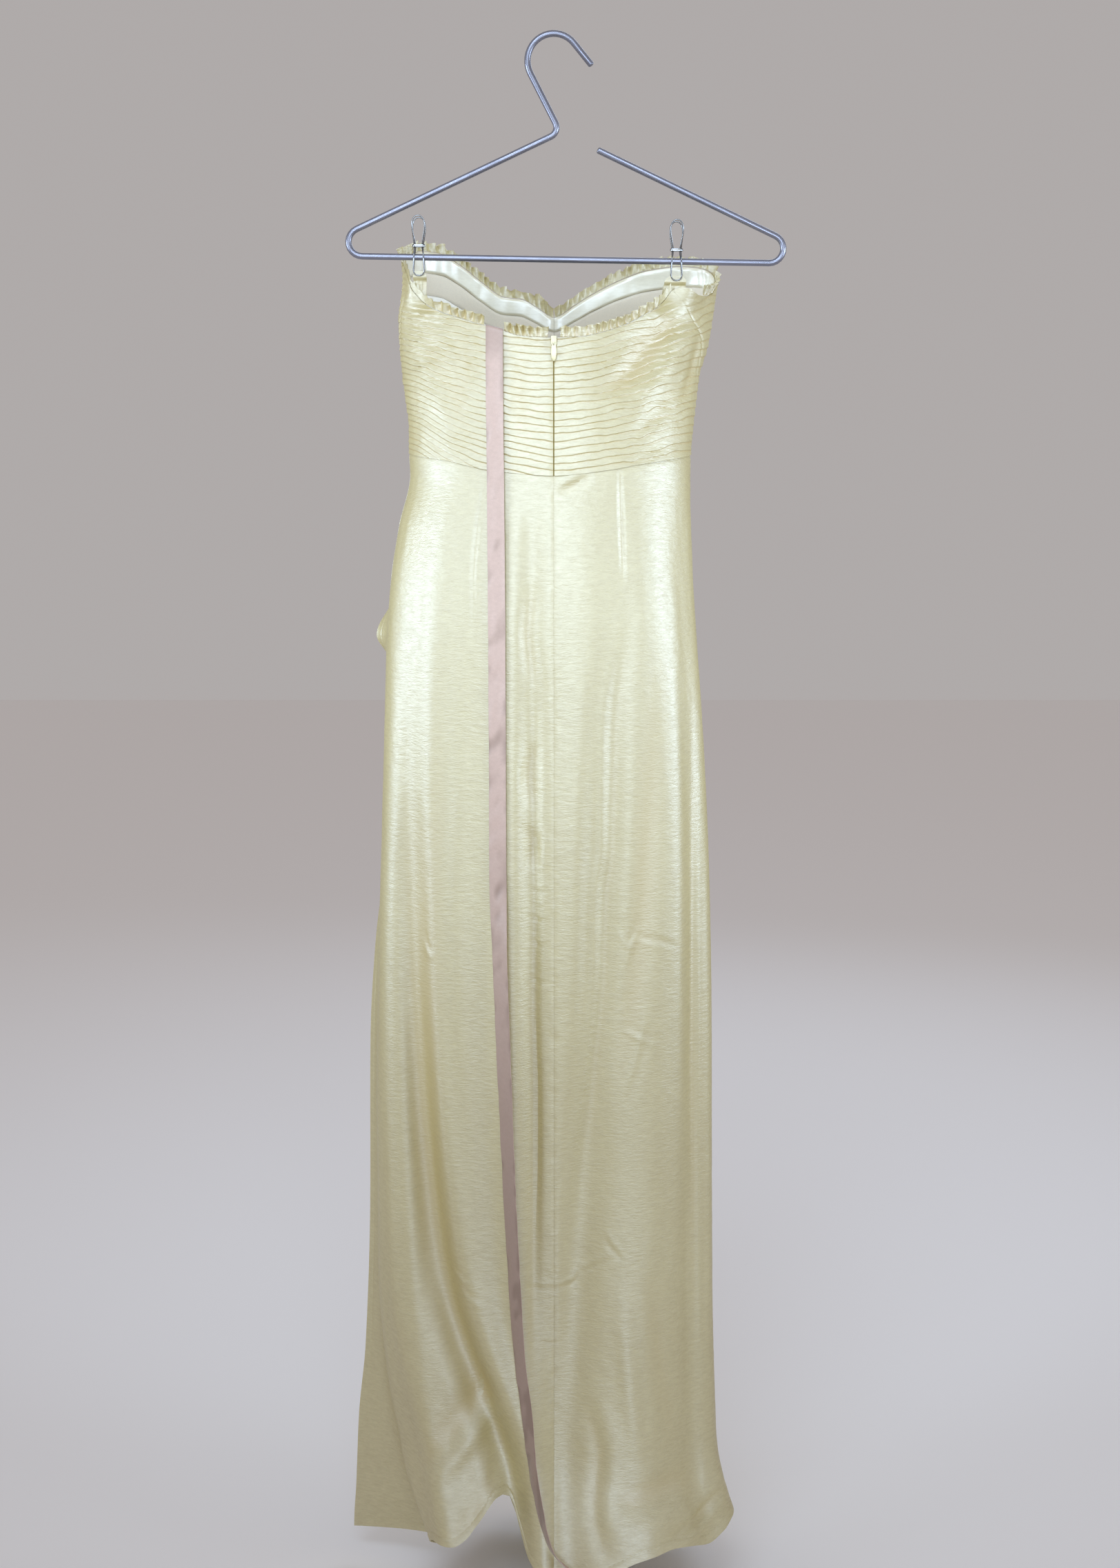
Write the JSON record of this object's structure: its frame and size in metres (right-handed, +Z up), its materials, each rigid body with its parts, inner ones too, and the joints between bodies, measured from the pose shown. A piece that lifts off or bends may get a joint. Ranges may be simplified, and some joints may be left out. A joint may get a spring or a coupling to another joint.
{
  "type": "satin maxi dress on hanger",
  "caption": "Long strapless satin dress with a pintucked bodice, ruffled neck edge and side slit, held by wire pegs on a bent-rod hanger.",
  "frame": {"origin": "where a rail touches the underside of the hook", "axes": "+Z up, +X towards the wearer's right, +Y out of the dress's front; the back and its zip face -Y"},
  "size_m": [0.4308, 0.2472, 1.5027],
  "materials": {
    "satin": "pale yellow-green polyester satin, soft sheen",
    "satin_facing": "the same satin inside the neck",
    "grip_band": "grey-beige grip tape, matt",
    "lining": "ivory lining, slight sheen",
    "ribbon_satin": "pale pink-beige satin ribbon",
    "zip_tape": "woven tape, matt",
    "zip_metal": "painted to match the satin",
    "hanger_metal": "satin metal rod, cool grey",
    "peg_wire": "bright plated wire"
  },
  "bodies": {
    "dress": {"bodice_back_left": "satin", "bodice_back_right": "satin", "bodice_front_left": "satin", "bodice_front_right": "satin", "clip_left_back_wire": "peg_wire", "clip_left_front_wire": "peg_wire", "clip_left_spring": "peg_wire", "clip_right_back_wire": "peg_wire", "clip_right_front_wire": "peg_wire", "clip_right_spring": "peg_wire", "facing_left": "satin_facing", "facing_right": "satin_facing", "grip_band_left": "grip_band", "grip_band_right": "grip_band", "hanger": "hanger_metal", "lining_left": "lining", "lining_right": "lining", "peg_tab_left": "satin_facing", "peg_tab_right": "satin_facing", "ribbon": "ribbon_satin", "ruffle_back_left": "satin", "ruffle_back_middle": "satin", "ruffle_back_right": "satin", "ruffle_front_left": "satin", "ruffle_front_right": "satin", "skirt_back_left": "satin", "skirt_back_right": "satin", "skirt_front": "satin", "skirt_front_strip": "satin", "zip_slider": "zip_metal", "zip_tape": "zip_tape"},
    "zip_pull": {"zip_pull": "zip_metal"}
  },
  "joints": [
    {"name": "zip_pull_hinge", "type": "hinge", "parent": "dress", "child": "zip_pull", "pos_m": [0, -0.05508, -0.2813], "axis": [-1, 0, 0], "range_deg": [0, 120]}
  ]
}
